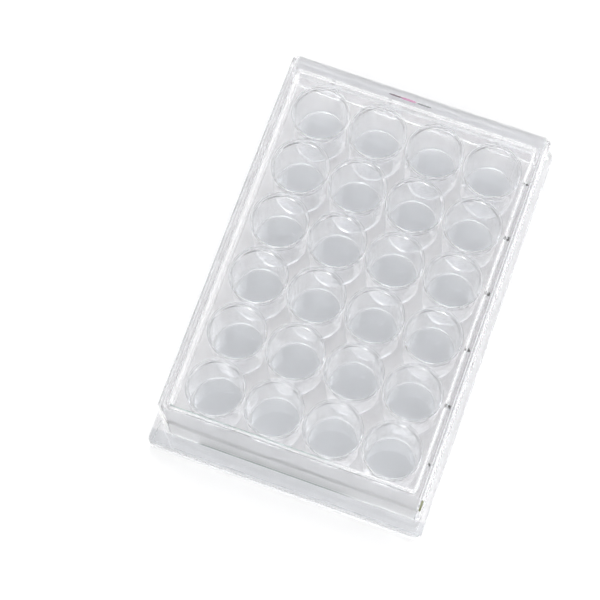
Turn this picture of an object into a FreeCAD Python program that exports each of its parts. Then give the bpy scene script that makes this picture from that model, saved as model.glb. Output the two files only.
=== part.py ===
import FreeCAD, Part
import os
import math
from FreeCAD import Vector

# Clear polystyrene cell-culture plate: a base moulded in one piece, with
# 4 x 6 round wells, and a loose lid that rests on it.
# Frame: Z up, base standing on Z = 0, X across the short side, Y along the
# long side.  Row 1 of wells is at +Y, column A at +X.  Millimetres.

# ---- wells -----------------------------------------------------------------
PITCH = 18.1            # centre to centre, both ways
NX, NY = 4, 6
WELL_R_TOP = 8.20       # bore radius at the rim
WELL_R_BOT = 7.55       # bore radius at the floor
WELL_DEPTH = 19.0
FLOOR_Z = 2.3           # inside floor of a well
FLOOR_T = 1.2           # thickness of the floor
WELL_OR_TOP = 8.85      # outer radius at the rim
WELL_OR_BOT = 8.35      # outer radius at the underside
FLOOR_FILLET = 0.5
RIM_ROUND = 0.20
RIM_Z = FLOOR_Z + WELL_DEPTH

# ---- base ------------------------------------------------------------------
BASE_W = 85.48          # footprint, X
BASE_L = 127.76         # footprint, Y
BODY_HX = 39.8          # outer half width of the upper body
BODY_HY = 58.9          # outer half length of the upper body
BODY_T = 1.0            # wall
BODY_R = 1.5            # rounded corners
BODY_CH = 3.8           # chamfered corner at -X -Y
WALL_TOP = RIM_Z + 0.45  # the wall stands up round the deck as a low curb
WALL_ROUND = 0.30
DECK_Z = RIM_Z - 1.9
DECK_T = 1.2
FLANGE_Z = 4.0          # top of the flange
FLANGE_T = 1.2
FOOT_T = 1.3            # wall of the foot skirt
FOOT_R = 2.2
NUB_X = 16.6            # two moulded nubs on each short flange
NUB_Y = 62.3
NUB_R = 0.7
NUB_H = 0.4

# ---- lid -------------------------------------------------------------------
LID_HX = 41.0
LID_HY = 60.15
LID_T = 1.2             # top panel
SKIRT_T = 1.0
LID_R = 1.7
LID_CH = 3.7            # chamfered corner at -X -Y
LID_GAP = 0.6           # air gap over the rims of the wells
STUD_H = 0.15           # air gap over the curb, held open by the standoffs
LID_UNDER = RIM_Z + LID_GAP
LID_TOP = LID_UNDER + LID_T
SKIRT_Z = 9.6           # lower edge of the skirt
LID_EDGE_R = 0.80       # round of the top outer edge
RIDGE_HX = 38.0         # stacking ridge, outer half width
RIDGE_HY = 55.9
RIDGE_W = 1.15
RIDGE_H = 0.9
RIDGE_R = 1.6
RIDGE_ROUND = 0.45
STUD_R = 0.6            # sphere radius of the domed standoffs under the lid
STUD_X = 24.0           # along the short sides
STUD_Y = 45.5           # along the long sides


def outline(hx, hy, r, ch=0.0):
    """Closed wire, a rectangle with rounded corners; the corner at -X -Y is
    cut off by a chamfer of leg ch instead when ch is not zero."""
    z = 0.0
    edges = []

    def line(a, b):
        if a.distanceToPoint(b) > 1e-7:
            edges.append(Part.LineSegment(a, b).toShape())

    def corner(cx, cy, a0):
        a = math.radians(a0)
        b = math.radians(a0 + 45)
        c = math.radians(a0 + 90)
        p0 = Vector(cx + r * math.cos(a), cy + r * math.sin(a), z)
        p1 = Vector(cx + r * math.cos(b), cy + r * math.sin(b), z)
        p2 = Vector(cx + r * math.cos(c), cy + r * math.sin(c), z)
        return p0, p1, p2

    c1 = corner(hx - r, hy - r, 0)        # +X +Y
    c2 = corner(-hx + r, hy - r, 90)      # -X +Y
    c4 = corner(hx - r, -hy + r, 270)     # +X -Y
    edges.append(Part.Arc(*c1).toShape())
    line(c1[2], c2[0])
    edges.append(Part.Arc(*c2).toShape())
    if ch:
        a = Vector(-hx, -hy + ch, z)
        b = Vector(-hx + ch, -hy, z)
        line(c2[2], a)
        line(a, b)
        line(b, c4[0])
    else:
        c3 = corner(-hx + r, -hy + r, 180)
        line(c2[2], c3[0])
        edges.append(Part.Arc(*c3).toShape())
        line(c3[2], c4[0])
    edges.append(Part.Arc(*c4).toShape())
    line(c4[2], c1[0])
    return Part.Wire(edges)


def prism(hx, hy, r, z0, z1, ch=0.0):
    w = outline(hx, hy, r, ch)
    f = Part.Face(w)
    s = f.extrude(Vector(0, 0, z1 - z0))
    s.translate(Vector(0, 0, z0))
    return s


def inset_chamfer(ch, d):
    """Leg of a 45 degree chamfer after its outline moves in by d."""
    return ch - d * (2.0 - math.sqrt(2.0))


def revolve(points):
    """Solid of revolution about Z.  points is a list of (r, z), or
    (r, z, rm, zm) for an arc that reaches (r, z) through (rm, zm)."""
    edges = []
    last = Vector(points[0][0], 0, points[0][1])
    first = last
    for p in points[1:]:
        here = Vector(p[0], 0, p[1])
        if len(p) == 4:
            mid = Vector(p[2], 0, p[3])
            edges.append(Part.Arc(last, mid, here).toShape())
        else:
            edges.append(Part.LineSegment(last, here).toShape())
        last = here
    edges.append(Part.LineSegment(last, first).toShape())
    return Part.Face(Part.Wire(edges)).revolve(Vector(0, 0, 0), Vector(0, 0, 1), 360)


def centres():
    for i in range(NX):
        for j in range(NY):
            yield Vector((i - (NX - 1) / 2.0) * PITCH, (j - (NY - 1) / 2.0) * PITCH, 0)


def cup_outside():
    """The outside of one well: a tapered post with a rounded rim."""
    z0 = FLOOR_Z - FLOOR_T
    q = RIM_ROUND
    k = math.sqrt(0.5)
    return revolve([
        (0, z0),
        (WELL_OR_BOT - 0.3, z0),
        (WELL_OR_BOT, z0 + 0.3),
        (WELL_OR_TOP, RIM_Z - q),
        (WELL_OR_TOP - q, RIM_Z, WELL_OR_TOP - q + q * k, RIM_Z - q + q * k),
        (0, RIM_Z),
    ])


def cup_inside():
    """The hollow of one well, with a filleted floor and an eased mouth."""
    f = FLOOR_FILLET
    q = RIM_ROUND
    k = math.sqrt(0.5)
    slope = (WELL_R_TOP - WELL_R_BOT) / WELL_DEPTH
    r_f = WELL_R_BOT + slope * f
    r_q = WELL_R_TOP - slope * q
    return revolve([
        (0, FLOOR_Z),
        (WELL_R_BOT - f, FLOOR_Z),
        (r_f, FLOOR_Z + f, WELL_R_BOT - f + f * k, FLOOR_Z + f - f * k),
        (r_q, RIM_Z - q),
        (r_q + q, RIM_Z, r_q + q - q * k, RIM_Z - q + q * k),
        (r_q + q, RIM_Z + 1.0),
        (0, RIM_Z + 1.0),
    ])


def well_plate():
    ix, iy = BODY_HX - BODY_T, BODY_HY - BODY_T
    ir = max(BODY_R - BODY_T, 0.5)
    ich = inset_chamfer(BODY_CH, BODY_T)
    z_fl = FLANGE_Z - FLANGE_T
    # upper body: wall and deck
    body = prism(BODY_HX, BODY_HY, BODY_R, z_fl, WALL_TOP, BODY_CH)
    body = body.cut(prism(ix, iy, ir, z_fl - 1, DECK_Z - DECK_T, ich))
    body = body.cut(prism(ix, iy, ir, DECK_Z, WALL_TOP + 1, ich))
    body = body.makeFillet(WALL_ROUND, [e for e in body.Edges
                                        if abs(e.BoundBox.ZMin - WALL_TOP) < 1e-6
                                        and abs(e.BoundBox.ZMax - WALL_TOP) < 1e-6])
    # flange and foot
    hx, hy = BASE_W / 2.0, BASE_L / 2.0
    foot = prism(hx, hy, FOOT_R, 0, FLANGE_Z)
    foot = foot.cut(prism(hx - FOOT_T, hy - FOOT_T, FOOT_R - FOOT_T, -1, z_fl))
    foot = foot.cut(prism(ix, iy, ir, -1, FLANGE_Z + 1, ich))
    top_edges = [e for e in foot.Edges
                 if abs(e.BoundBox.ZMin - FLANGE_Z) < 1e-6 and abs(e.BoundBox.ZMax - FLANGE_Z) < 1e-6
                 and (e.BoundBox.XMax > hx - FOOT_R - 1e-3 or e.BoundBox.XMin < -hx + FOOT_R + 1e-3
                      or e.BoundBox.YMax > hy - FOOT_R - 1e-3 or e.BoundBox.YMin < -hy + FOOT_R + 1e-3)]
    foot = foot.makeFillet(0.35, top_edges)
    cup = cup_outside()
    cups = []
    for c in centres():
        s = cup.copy()
        s.translate(c)
        cups.append(s)
    nubs = []
    for sx in (-1, 1):
        for sy in (-1, 1):
            n = Part.makeCylinder(NUB_R, NUB_H + 0.2, Vector(sx * NUB_X, sy * NUB_Y, FLANGE_Z - 0.2))
            nubs.append(n)
    whole = body.multiFuse([foot] + cups + nubs)
    hollow = cup_inside()
    hollows = []
    for c in centres():
        s = hollow.copy()
        s.translate(c)
        hollows.append(s)
    whole = whole.cut(Part.makeCompound(hollows))
    return whole.removeSplitter()


def lid():
    ix, iy = LID_HX - SKIRT_T, LID_HY - SKIRT_T
    ir = LID_R - SKIRT_T
    ich = inset_chamfer(LID_CH, SKIRT_T)
    s = prism(LID_HX, LID_HY, LID_R, SKIRT_Z, LID_TOP, LID_CH)
    top_edges = [e for e in s.Edges
                 if abs(e.BoundBox.ZMin - LID_TOP) < 1e-6 and abs(e.BoundBox.ZMax - LID_TOP) < 1e-6]
    s = s.makeFillet(LID_EDGE_R, top_edges)
    s = s.cut(prism(ix, iy, ir, SKIRT_Z - 1, LID_UNDER, ich))
    # stacking ridge on the top panel
    ridge = prism(RIDGE_HX, RIDGE_HY, RIDGE_R, LID_TOP - 0.2, LID_TOP + RIDGE_H)
    ridge = ridge.cut(prism(RIDGE_HX - RIDGE_W, RIDGE_HY - RIDGE_W, RIDGE_R - RIDGE_W + 0.3,
                            LID_TOP - 1, LID_TOP + RIDGE_H + 1))
    z = LID_TOP + RIDGE_H
    re = [e for e in ridge.Edges if abs(e.BoundBox.ZMin - z) < 1e-6 and abs(e.BoundBox.ZMax - z) < 1e-6]
    ridge = ridge.makeFillet(RIDGE_ROUND, re)
    # domed standoffs under the lid that stand on the curb of the base
    studs = []
    mx, my = BODY_HX - BODY_T / 2.0, BODY_HY - BODY_T / 2.0
    z = WALL_TOP + STUD_R
    for sx in (-1, 1):
        for sy in (-1, 1):
            for x, y in ((sx * mx, sy * STUD_Y), (sx * STUD_X, sy * my)):
                ball = Part.makeSphere(STUD_R, Vector(x, y, z))
                keep = Part.makeBox(4, 4, STUD_H + 0.2, Vector(x - 2, y - 2, z - STUD_R))
                studs.append(ball.common(keep))
    s = s.multiFuse([ridge] + studs)
    return s.removeSplitter()


def main():
    os.makedirs("parts", exist_ok=True)
    made = {"well_plate": well_plate(), "lid": lid()}
    for name, shape in made.items():
        if shape.ShapeType == "Compound" and len(shape.Solids) == 1:
            shape = shape.Solids[0]
        print(name, shape.ShapeType, "solids", len(shape.Solids), "valid", shape.isValid(),
              "volume", round(shape.Volume, 1), "box", shape.BoundBox)
        shape.exportStep("parts/" + name + ".step")


main()
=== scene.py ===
import math
import bpy
from mathutils import Matrix, Vector


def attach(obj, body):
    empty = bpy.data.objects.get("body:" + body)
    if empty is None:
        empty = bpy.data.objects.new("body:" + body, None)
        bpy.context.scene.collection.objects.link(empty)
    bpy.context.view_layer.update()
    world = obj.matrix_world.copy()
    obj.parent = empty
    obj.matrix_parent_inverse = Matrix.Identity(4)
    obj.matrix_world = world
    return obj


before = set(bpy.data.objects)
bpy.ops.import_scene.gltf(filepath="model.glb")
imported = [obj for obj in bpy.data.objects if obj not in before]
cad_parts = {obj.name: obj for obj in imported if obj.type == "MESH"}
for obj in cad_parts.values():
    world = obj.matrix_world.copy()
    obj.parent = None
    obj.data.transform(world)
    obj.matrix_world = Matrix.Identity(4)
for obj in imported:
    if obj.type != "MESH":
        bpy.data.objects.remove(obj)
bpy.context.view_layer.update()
scene = bpy.context.scene
PITCH = 0.0181


# ---------------------------------------------------------------- materials
def new_material(name):
    m = bpy.data.materials.new(name)
    m.use_nodes = True
    nt = m.node_tree
    for n in list(nt.nodes):
        nt.nodes.remove(n)
    return m, nt


def node(nt, kind, **values):
    n = nt.nodes.new(kind)
    for k, v in values.items():
        if k in n.inputs:
            n.inputs[k].default_value = v
        else:
            setattr(n, k, v)
    return n


def math_node(nt, op, a, b=0.0, c=None):
    """One Math node; a and b are sockets or numbers."""
    n = nt.nodes.new("ShaderNodeMath")
    n.operation = op
    for i, v in enumerate((a, b, c)):
        if v is None:
            continue
        if isinstance(v, (int, float)):
            n.inputs[i].default_value = v
        else:
            nt.links.new(v, n.inputs[i])
    return n.outputs[0]


def smooth(nt, value, lo, hi):
    """0 below lo, 1 above hi, smooth between; hi may be the lower one."""
    n = nt.nodes.new("ShaderNodeMapRange")
    n.interpolation_type = "SMOOTHSTEP"
    flip = hi < lo
    n.inputs["From Min"].default_value = min(lo, hi)
    n.inputs["From Max"].default_value = max(lo, hi)
    n.inputs["To Min"].default_value = 1.0 if flip else 0.0
    n.inputs["To Max"].default_value = 0.0 if flip else 1.0
    nt.links.new(value, n.inputs["Value"])
    return n.outputs["Result"]


def mix_color(nt, fac, a, b):
    n = nt.nodes.new("ShaderNodeMix")
    n.data_type = "RGBA"
    for i, v in ((0, fac), (6, a), (7, b)):
        if isinstance(v, (int, float, tuple)):
            n.inputs[i].default_value = v
        else:
            nt.links.new(v, n.inputs[i])
    return n.outputs[2]


def mix_value(nt, fac, a, b):
    n = nt.nodes.new("ShaderNodeMix")
    n.data_type = "FLOAT"
    for i, v in ((0, fac), (2, a), (3, b)):
        if isinstance(v, (int, float)):
            n.inputs[i].default_value = v
        else:
            nt.links.new(v, n.inputs[i])
    return n.outputs[0]


def plastic_start(name, tint_a, tint_b, rough):
    """Clear moulded polystyrene: faint uneven tint, flow ripple and hairline scuffs.
    Returns the material with the sockets that the caller goes on from."""
    m, nt = new_material(name)
    L = nt.links.new
    k = {"nt": nt, "out": node(nt, "ShaderNodeOutputMaterial")}
    geo = node(nt, "ShaderNodeTexCoord")
    sep = node(nt, "ShaderNodeSeparateXYZ")
    L(geo.outputs["Object"], sep.inputs["Vector"])
    k["x"], k["y"], k["z"] = sep.outputs
    k["co"] = geo.outputs["Object"]
    # flow lines of the moulding, long along the plate
    mp = node(nt, "ShaderNodeMapping")
    mp.inputs["Scale"].default_value = (60, 14, 60)
    L(geo.outputs["Object"], mp.inputs["Vector"])
    flow = node(nt, "ShaderNodeTexNoise", Scale=2.2, Detail=1.0, Roughness=0.45)
    L(mp.outputs["Vector"], flow.inputs["Vector"])
    k["flow"] = flow.outputs["Fac"]
    ramp = node(nt, "ShaderNodeValToRGB")
    ramp.color_ramp.elements[0].position = 0.30
    ramp.color_ramp.elements[0].color = tint_a
    ramp.color_ramp.elements[1].position = 0.72
    ramp.color_ramp.elements[1].color = tint_b
    L(flow.outputs["Fac"], ramp.inputs["Fac"])
    k["tint"] = ramp.outputs["Color"]
    # scuffs: glossy plastic, with specks here and there that are less so
    scuff = node(nt, "ShaderNodeTexNoise", Scale=900.0, Detail=1.0, Roughness=0.6)
    L(geo.outputs["Object"], scuff.inputs["Vector"])
    r = node(nt, "ShaderNodeMapRange")
    r.inputs["From Min"].default_value = 0.56
    r.inputs["From Max"].default_value = 0.76
    r.inputs["To Min"].default_value = 0.0
    r.inputs["To Max"].default_value = rough * 4.0
    L(scuff.outputs["Fac"], r.inputs["Value"])
    k["rough"] = r.outputs["Result"]
    p = node(nt, "ShaderNodeBsdfPrincipled")
    p.inputs["Transmission Weight"].default_value = 1.0
    p.inputs["IOR"].default_value = 1.59
    L(p.outputs["BSDF"], k["out"].inputs["Surface"])
    k["shader"] = p
    return m, k


def absolute(nt, v):
    return math_node(nt, "ABSOLUTE", v)


def times(nt, *values):
    out = values[0]
    for v in values[1:]:
        out = math_node(nt, "MULTIPLY", out, v)
    return out


def base_plastic():
    """The tray: faint uneven tint, drawn streaks down the cups, a cooler tint at the cup
    floors that is darker as painted shade, painted shade on the near flange and on the
    foot at +X, and cup walls that are less glossy in streaks."""
    m, k = plastic_start("base_polystyrene", (0.973, 0.973, 0.980, 1), (0.989, 0.989, 0.993, 1), 0.02)
    nt, p = k["nt"], k["shader"]
    L = nt.links.new
    x, y, z = k["x"], k["y"], k["z"]
    ax, ay = absolute(nt, x), absolute(nt, y)
    # place in the cup: distance from the nearest cup axis
    fx = math_node(nt, "SUBTRACT", math_node(nt, "FRACT", math_node(nt, "MULTIPLY", x, 1 / PITCH)), 0.5)
    fy = math_node(nt, "SUBTRACT", math_node(nt, "FRACT", math_node(nt, "MULTIPLY", y, 1 / PITCH)), 0.5)
    rr = math_node(nt, "SQRT", math_node(nt, "ADD", math_node(nt, "MULTIPLY", fx, fx),
                                         math_node(nt, "MULTIPLY", fy, fy)))
    rr = math_node(nt, "MULTIPLY", rr, PITCH)
    wall = times(nt, smooth(nt, z, 0.0193, 0.0188), smooth(nt, z, 0.0022, 0.0032))
    inside = times(nt, smooth(nt, ax, 0.0386, 0.0384), smooth(nt, ay, 0.0577, 0.0575))
    outer = times(nt, wall, inside, smooth(nt, rr, 0.00822, 0.00832))
    # painted shade: the cup floors get a darker, cooler tint
    cup_floor_shade_mask = times(nt, smooth(nt, z, 0.0048, 0.0036), inside)
    # painted shade: the flange on the near side is tinted greyer
    near_flange_shade_mask = times(nt, smooth(nt, z, 0.0045, 0.0042), smooth(nt, y, -0.0588, -0.0591),
                        smooth(nt, y, -0.0634, -0.0631))
    # painted shade: the foot at +X is tinted darker grey
    side_foot_shade_mask = times(nt, smooth(nt, z, 0.0040, 0.0037), smooth(nt, x, 0.04225, 0.04240))
    # streaks that run down the walls
    mp = node(nt, "ShaderNodeMapping")
    mp.inputs["Scale"].default_value = (900, 900, 30)
    L(k["co"], mp.inputs["Vector"])
    drag = node(nt, "ShaderNodeTexNoise", Scale=1.0, Detail=1.0, Roughness=0.5)
    L(mp.outputs["Vector"], drag.inputs["Vector"])
    streak = smooth(nt, drag.outputs["Fac"], 0.35, 0.65)
    # painted shade: darker, cooler tint at the cup floors
    tint = mix_color(nt, cup_floor_shade_mask, k["tint"], CUP_FLOOR_SHADE)
    # painted shade on the near flange
    tint = mix_color(nt, near_flange_shade_mask, tint, NEAR_FLANGE_SHADE)
    # painted shade on the foot at +X
    tint = mix_color(nt, side_foot_shade_mask, tint, SIDE_FOOT_SHADE)
    L(tint, p.inputs["Base Color"])
    rough = mix_value(nt, times(nt, outer, streak), k["rough"], WALL_ROUGH)
    root = times(nt, inside, smooth(nt, z, 0.0022, 0.0023), smooth(nt, z, 0.0031, 0.0028),
                 smooth(nt, rr, 0.0068, 0.0071), smooth(nt, rr, 0.0079, 0.0078))
    rough = mix_value(nt, root, rough, 0.12)
    L(rough, p.inputs["Roughness"])
    b = node(nt, "ShaderNodeBump", Distance=0.0004)
    L(times(nt, wall, inside, 0.05), b.inputs["Strength"])
    L(drag.outputs["Fac"], b.inputs["Height"])
    L(b.outputs["Normal"], p.inputs["Normal"])
    return m


def lid_plastic():
    """The lid: the same plastic, with a fine even grain outside the frame at both ends,
    painted shade on its ledges, end walls, near shoulder and left skirt, a frame painted
    with a white highlight, and painted dark lines and marks along its near edges."""
    m, k = plastic_start("lid_polystyrene", (0.960, 0.959, 0.966, 1), (0.974, 0.973, 0.978, 1), 0.015)
    nt, p = k["nt"], k["shader"]
    L = nt.links.new
    x, y, z = k["x"], k["y"], k["z"]
    ax, ay = absolute(nt, x), absolute(nt, y)
    # the grained ledges outside the frame, and the end walls below them
    # (the cut corner at -X -Y stays clear)
    slant = math_node(nt, "MULTIPLY_ADD", y, 0.8, x)
    ledge = times(nt, smooth(nt, ay, 0.0562, 0.0565), smooth(nt, z, 0.0098, 0.0102),
                  smooth(nt, slant, -0.0845, -0.0837), smooth(nt, ax, 0.0398, 0.0390))
    end_wall = times(nt, ledge, smooth(nt, z, 0.0232, 0.0222))
    grain = node(nt, "ShaderNodeTexNoise", Scale=2600.0, Detail=1.0, Roughness=0.6)
    L(k["co"], grain.inputs["Vector"])
    g = smooth(nt, grain.outputs["Fac"], 0.3, 0.7)
    frost = math_node(nt, "MULTIPLY_ADD", g, 0.10, LEDGE_ROUGH)
    # the frame: distance outside its outer edge, negative inward
    out_x = math_node(nt, "SUBTRACT", ax, 0.0380)
    out_y = math_node(nt, "SUBTRACT", ay, 0.0559)
    q = math_node(nt, "MAXIMUM", out_x, out_y)
    frame_top = times(nt, smooth(nt, q, -0.00125, -0.00112), smooth(nt, q, 0.00012, 0.00002),
                      smooth(nt, z, 0.02312, 0.02325))
    near = smooth(nt, y, -0.0545, -0.0547)
    # painted reflection: a dark green line along the inner edge of the frame on the near side
    near_edge_painted_line = times(nt, frame_top, near, smooth(nt, q, -0.00060, -0.00075), smooth(nt, x, 0.021, 0.008))
    near_outer = times(nt, frame_top, near, smooth(nt, q, -0.00022, -0.00012))
    # painted highlight: the frame top is painted near-white and part opaque, except at its near edge lines
    frame_painted_highlight = math_node(nt, "SUBTRACT", frame_top, math_node(nt, "MAXIMUM", near_edge_painted_line, near_outer))
    # lower edge of the skirt; on its near face a dark green, mostly opaque line is painted as shade
    hem = smooth(nt, z, 0.0109, 0.0106)
    face = smooth(nt, y, -0.0600, -0.0601)
    hem_painted_shade_line = times(nt, hem, face, smooth(nt, x, 0.026, 0.012), smooth(nt, x, -0.0275, -0.0260))
    # painted highlight: a white, partly opaque strand on the cut corner's facet
    facet_painted_highlight = smooth(nt, math_node(nt, "ADD", x, y), -0.0963, -0.0967)
    # painted shade: a grey band on the lid's near shoulder, just below the top
    shoulder_shade_mask = times(nt, near, smooth(nt, y, -0.0590, -0.0594), smooth(nt, z, 0.0220, 0.0223), smooth(nt, z, 0.02312, 0.02304))
    far = smooth(nt, y, -0.010, 0.010)
    # painted shade: the ledges and end walls are tinted grey, darker on the near side than on the far side
    tint = mix_color(nt, ledge, k["tint"], mix_color(nt, far, LEDGE_SHADE, FAR_SIDE_SHADE))
    tint = mix_color(nt, end_wall, tint, mix_color(nt, far, END_WALL_SHADE, FAR_SIDE_SHADE))
    # painted reflection: a dark olive, mostly opaque mark near the lid's near-right corner
    painted_dark_glint = times(nt, smooth(nt, x, 0.0397, 0.0400), smooth(nt, x, 0.0406, 0.0404), smooth(nt, y, -0.0599, -0.0596),
                  smooth(nt, y, -0.0564, -0.0567), smooth(nt, z, 0.0222, 0.0225))
    # painted shade: the lid's left skirt is tinted darker grey
    tint = mix_color(nt, smooth(nt, x, -0.0400, -0.0404), tint, LEFT_SKIRT_SHADE)
    # painted shade on the near shoulder
    tint = mix_color(nt, shoulder_shade_mask, tint, SHOULDER_SHADE)
    # painted reflection: dark green line on the frame's near inner edge
    tint = mix_color(nt, near_edge_painted_line, tint, (0.30, 0.40, 0.37, 1))
    # painted shade: dark green line along the near hem
    tint = mix_color(nt, hem_painted_shade_line, tint, (0.11, 0.16, 0.145, 1))
    # painted highlight on the frame top and on the cut-corner facet
    tint = mix_color(nt, math_node(nt, "MAXIMUM", frame_painted_highlight, facet_painted_highlight), tint, (0.985, 0.985, 0.985, 1))
    # painted reflection: dark olive mark at the near-right corner
    tint = mix_color(nt, painted_dark_glint, tint, (0.13, 0.14, 0.05, 1))
    L(tint, p.inputs["Base Color"])
    L(mix_value(nt, ledge, k["rough"], frost), p.inputs["Roughness"])
    # opacity of the painted highlights on frame and facet, the painted hem shade line and the painted dark glint
    hz = math_node(nt, "MAXIMUM", math_node(nt, "MULTIPLY", frame_painted_highlight, FRAME_HIGHLIGHT_HAZE),
                   math_node(nt, "MULTIPLY", hem_painted_shade_line, 0.93))
    hz = math_node(nt, "MAXIMUM", hz, math_node(nt, "MULTIPLY", facet_painted_highlight, 0.55))
    hz = math_node(nt, "MAXIMUM", hz, math_node(nt, "MULTIPLY", painted_dark_glint, 0.75))
    L(math_node(nt, "SUBTRACT", 1.0, hz), p.inputs["Transmission Weight"])
    b = node(nt, "ShaderNodeBump", Strength=0.04, Distance=0.0004)
    L(k["flow"], b.inputs["Height"])
    L(b.outputs["Normal"], p.inputs["Normal"])
    return m


WALL_ROUGH = 0.12
LEDGE_ROUGH = 0.36
# opacity of the painted highlight on the frame
FRAME_HIGHLIGHT_HAZE = 0.20
# painted shade at the cup floors
CUP_FLOOR_SHADE = (0.914, 0.930, 0.944, 1)
# painted shade on the foot at +X
SIDE_FOOT_SHADE = (0.74, 0.73, 0.77, 1)
# painted shade on the near flange
NEAR_FLANGE_SHADE = (0.868, 0.878, 0.894, 1)
# painted shade on the lid's left skirt
LEFT_SKIRT_SHADE = (0.730, 0.733, 0.740, 1)
# painted shade on the near ledge
LEDGE_SHADE = (0.640, 0.643, 0.653, 1)
# painted shade on the near shoulder
SHOULDER_SHADE = (0.76, 0.765, 0.775, 1)
# painted shade on the far ledge and end wall, lighter than on the near side
FAR_SIDE_SHADE = (0.860, 0.866, 0.882, 1)
# painted shade on the near end wall
END_WALL_SHADE = (0.925, 0.930, 0.942, 1)
base_mat = base_plastic()
lid_mat = lid_plastic()

for name, mat in (("well_plate", base_mat), ("lid", lid_mat)):
    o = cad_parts[name]
    for s in range(max(1, len(o.material_slots))):
        if not o.material_slots:
            o.data.materials.append(mat)
        else:
            o.material_slots[s].material = mat

# ---------------------------------------------------------------- printing
def ink(name, dark, pale, rough=0.45):
    """Pad-printed ink: thinner and paler in specks."""
    m, nt = new_material(name)
    out = node(nt, "ShaderNodeOutputMaterial")
    tc = node(nt, "ShaderNodeTexCoord")
    no = node(nt, "ShaderNodeTexNoise", Scale=2500.0, Detail=3.0, Roughness=0.6)
    nt.links.new(tc.outputs["Object"], no.inputs["Vector"])
    rp = node(nt, "ShaderNodeValToRGB")
    rp.color_ramp.elements[0].position = 0.35
    rp.color_ramp.elements[0].color = dark
    rp.color_ramp.elements[1].position = 0.80
    rp.color_ramp.elements[1].color = pale
    nt.links.new(no.outputs["Fac"], rp.inputs["Fac"])
    p = node(nt, "ShaderNodeBsdfPrincipled")
    r = smooth(nt, no.outputs["Fac"], 0.2, 0.8)
    nt.links.new(math_node(nt, "MULTIPLY_ADD", r, 0.2, rough), p.inputs["Roughness"])
    nt.links.new(rp.outputs["Color"], p.inputs["Base Color"])
    nt.links.new(p.outputs["BSDF"], out.inputs["Surface"])
    return m


def mesh_object(name, me, mat):
    o = bpy.data.objects.new(name, me)
    scene.collection.objects.link(o)
    o.data.materials.append(mat)
    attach(o, "root")
    return o


def label(text, name, x, y, z, size, mat):
    """A printed letter on the deck, read with +X up, as thin raised ink."""
    c = bpy.data.curves.new(name, "FONT")
    c.body = text
    c.size = size
    c.align_x = "CENTER"
    c.align_y = "CENTER"
    c.extrude = 0.000012
    c.offset = size * 0.065
    t = bpy.data.objects.new(name + "_t", c)
    scene.collection.objects.link(t)
    bpy.context.view_layer.update()
    me = bpy.data.meshes.new_from_object(t.evaluated_get(bpy.context.evaluated_depsgraph_get()))
    scene.collection.objects.unlink(t)
    bpy.data.objects.remove(t)
    me.name = name
    me.transform(Matrix.Translation((x, y, z)) @ Matrix.Rotation(-math.pi / 2, 4, "Z"))
    me.materials.clear()
    return mesh_object(name, me, mat)


DECK = 0.0194
black = ink("print_black", (0.006, 0.006, 0.007, 1), (0.03, 0.03, 0.032, 1))
grey = ink("print_grey", (0.10, 0.10, 0.11, 1), (0.22, 0.22, 0.23, 1))
for i in range(6):
    label(str(i + 1), "number_%d" % (i + 1), 0.03778, (2.5 - i) * PITCH - 0.0002, DECK + 0.00002, 0.0025, black)
for i, ch in enumerate("ABCD"):
    label(ch, "letter_%s" % ch.lower(), (1.5 - i) * PITCH, 0.0563, DECK + 0.00002, 0.0014, grey)


def stripe(name, x0, x1, y, z, half, mat):
    """A thin printed stripe that tapers to both ends."""
    n = 28
    verts, faces = [], []
    for i in range(n + 1):
        t = i / n
        w = half * min(1.0, 5.0 * t, 5.0 * (1 - t)) ** 0.6 if 0 < t < 1 else half * 0.08
        x = x0 + (x1 - x0) * t
        for dy in (-w, w):
            for dz in (0.0, 0.00002):
                verts.append((x, y + dy, z + dz))
    for i in range(n):
        a, b = 4 * i, 4 * (i + 1)
        faces += [(a + 1, b + 1, b + 3, a + 3), (a, a + 2, b + 2, b), (a, b, b + 1, a + 1),
                  (a + 2, a + 3, b + 3, b + 2)]
    faces += [(0, 1, 3, 2), (4 * n, 4 * n + 2, 4 * n + 3, 4 * n + 1)]
    me = bpy.data.meshes.new(name)
    me.from_pydata(verts, [], faces)
    me.validate()
    return mesh_object(name, me, mat)


LID_Z = 0.02311
rose = ink("print_rose", (0.42, 0.16, 0.30, 1), (0.62, 0.36, 0.50, 1))
plum = ink("print_plum", (0.10, 0.055, 0.08, 1), (0.20, 0.12, 0.16, 1))
stripe("stripe_left", -0.0098, -0.0052, 0.05755, LID_Z, 0.00020, plum)
stripe("stripe_middle", -0.0060, -0.0010, 0.05750, LID_Z + 0.00003, 0.00030, rose)
stripe("stripe_right", -0.0008, 0.0038, 0.05740, LID_Z, 0.00016, grey)

# ---------------------------------------------------------------- floor
fm, nt = new_material("paper")
out = node(nt, "ShaderNodeOutputMaterial")
tc = node(nt, "ShaderNodeTexCoord")
no = node(nt, "ShaderNodeTexNoise", Scale=6.0, Detail=0.0)
nt.links.new(tc.outputs["Object"], no.inputs["Vector"])
rp = node(nt, "ShaderNodeValToRGB")
rp.color_ramp.elements[0].color = (0.86, 0.86, 0.865, 1)
rp.color_ramp.elements[1].color = (0.90, 0.90, 0.90, 1)
nt.links.new(no.outputs["Fac"], rp.inputs["Fac"])
pb = node(nt, "ShaderNodeBsdfDiffuse")
nt.links.new(rp.outputs["Color"], pb.inputs["Color"])
nt.links.new(pb.outputs["BSDF"], out.inputs["Surface"])
me = bpy.data.meshes.new("floor")
s = 3.0
me.from_pydata([(-s, -s, 0), (s, -s, 0), (s, s, 0), (-s, s, 0)], [], [(0, 1, 2, 3)])
floor = bpy.data.objects.new("floor", me)
scene.collection.objects.link(floor)
floor.data.materials.append(fm)
floor.location = (0, 0, -0.00005)

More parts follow.
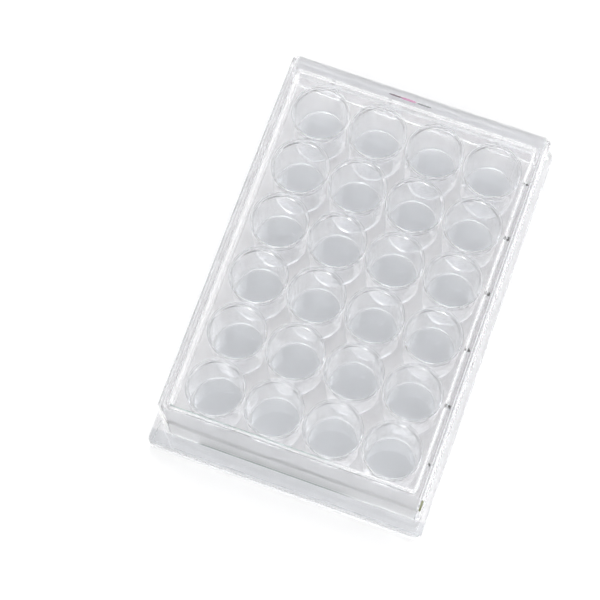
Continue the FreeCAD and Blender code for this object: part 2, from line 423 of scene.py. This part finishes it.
# ---------------------------------------------------------------- light
# a ring of soft studio panels round the object: one row for each height, from the
# horizon up, and in it the strength in each eighth of the circle, counted from the
# picture's right (0) by way of its far side (2), left (4) and near side (6)
HEIGHTS = (10, 25, 40, 55, 70, 80)      # upper edge of each row, degrees
PANELS = (
    (0.9, 0.9, 0.9, 0.9, 0.8, 0.9, 0.9, 0.9),
    (1.1, 1.1, 1.1, 1.1, 1.1, 1.1, 1.1, 1.1),
    (0.0, 0.5, 2.4, 0.5, 0.9, 2.3, 2.6, 0.7),
    (0.0, 0.6, 3.2, 0.0, 0.0, 0.0, 1.5, 0.0),
    (1.0, 5.0, 0.7, 1.4, 1.4, 2.0, 3.3, 2.1),
    (3.0, 5.0, 0.5, 2.2, 0.8, 1.5, 1.1, 0.0),
)
TOP = 3.12
CAM_AZ = 19.9      # azimuth of the picture's right-hand direction
w = bpy.data.worlds.new("studio")
scene.world = w
w.use_nodes = True
nt = w.node_tree
for n in list(nt.nodes):
    nt.nodes.remove(n)
wo = node(nt, "ShaderNodeOutputWorld")
bg = node(nt, "ShaderNodeBackground", Color=(1, 1, 1, 1))
tc = node(nt, "ShaderNodeTexCoord")
sep = node(nt, "ShaderNodeSeparateXYZ")
nt.links.new(tc.outputs["Generated"], sep.inputs["Vector"])
wx, wy, wz = sep.outputs
turn = math_node(nt, "FRACT", math_node(nt, "MULTIPLY_ADD", math_node(nt, "ARCTAN2", wy, wx),
                                        1 / (2 * math.pi), 1.0625 - CAM_AZ / 360.0))
MOST = max(max(row) for row in PANELS)


def panel_row(values):
    """Strength of one row round the circle, with soft joins between its panels."""
    n = nt.nodes.new("ShaderNodeValToRGB")
    n.color_ramp.interpolation = "EASE"
    e = n.color_ramp.elements
    soft = 4.0 / 360.0
    stops = []
    for q in range(8):
        v = values[q] / MOST
        stops += [(q / 8 + (soft if q else 0.0), v), ((q + 1) / 8 - (soft if q < 7 else 0.0), v)]
    while len(e) < len(stops):
        e.new(1.0)
    for el, (p, v) in zip(e, stops):
        el.position = p
        el.color = (v, v, v, 1)
    nt.links.new(turn, n.inputs["Fac"])
    return n.outputs["Color"]


light = panel_row(PANELS[0])
for row, edge in zip(PANELS[1:] + (None,), HEIGHTS):
    up = smooth(nt, wz, math.sin(math.radians(edge - 2)), math.sin(math.radians(edge + 2)))
    light = mix_value(nt, up, light, panel_row(row) if row else TOP / MOST)
# the panels light the object; behind it the studio itself is plain white
path = node(nt, "ShaderNodeLightPath")
light = mix_value(nt, path.outputs["Is Camera Ray"], math_node(nt, "MULTIPLY", light, MOST), 1.0)
nt.links.new(light, bg.inputs["Strength"])
nt.links.new(bg.outputs["Background"], wo.inputs["Surface"])

# ---------------------------------------------------------------- camera
cam = bpy.data.cameras.new("camera")
cam.sensor_fit = "HORIZONTAL"
cam.sensor_width = 36.0
cam.lens = 2106.7 / 600.0 * 36.0
cam.clip_start = 0.01
cam.clip_end = 20.0
co = bpy.data.objects.new("camera", cam)
scene.collection.objects.link(co)
R = ((0.9403369, 0.3402109, -0.0048037), (0.3250294, -0.9023713, -0.2829876), (-0.1006102, 0.2645423, -0.9591115))
C = (0.0490340, -0.1754412, 0.6138871)
m = Matrix(((R[0][0], -R[1][0], -R[2][0], C[0]),
            (R[0][1], -R[1][1], -R[2][1], C[1]),
            (R[0][2], -R[1][2], -R[2][2], C[2]),
            (0, 0, 0, 1)))
co.matrix_world = m
scene.camera = co

# ---------------------------------------------------------------- render look
scene.view_settings.view_transform = "Standard"
cy = scene.cycles
cy.max_bounces = 64
cy.transmission_bounces = 64
cy.glossy_bounces = 64
cy.transparent_max_bounces = 32
cy.caustics_refractive = True
cy.caustics_reflective = True
cy.blur_glossy = 0.2

bpy.context.view_layer.update()
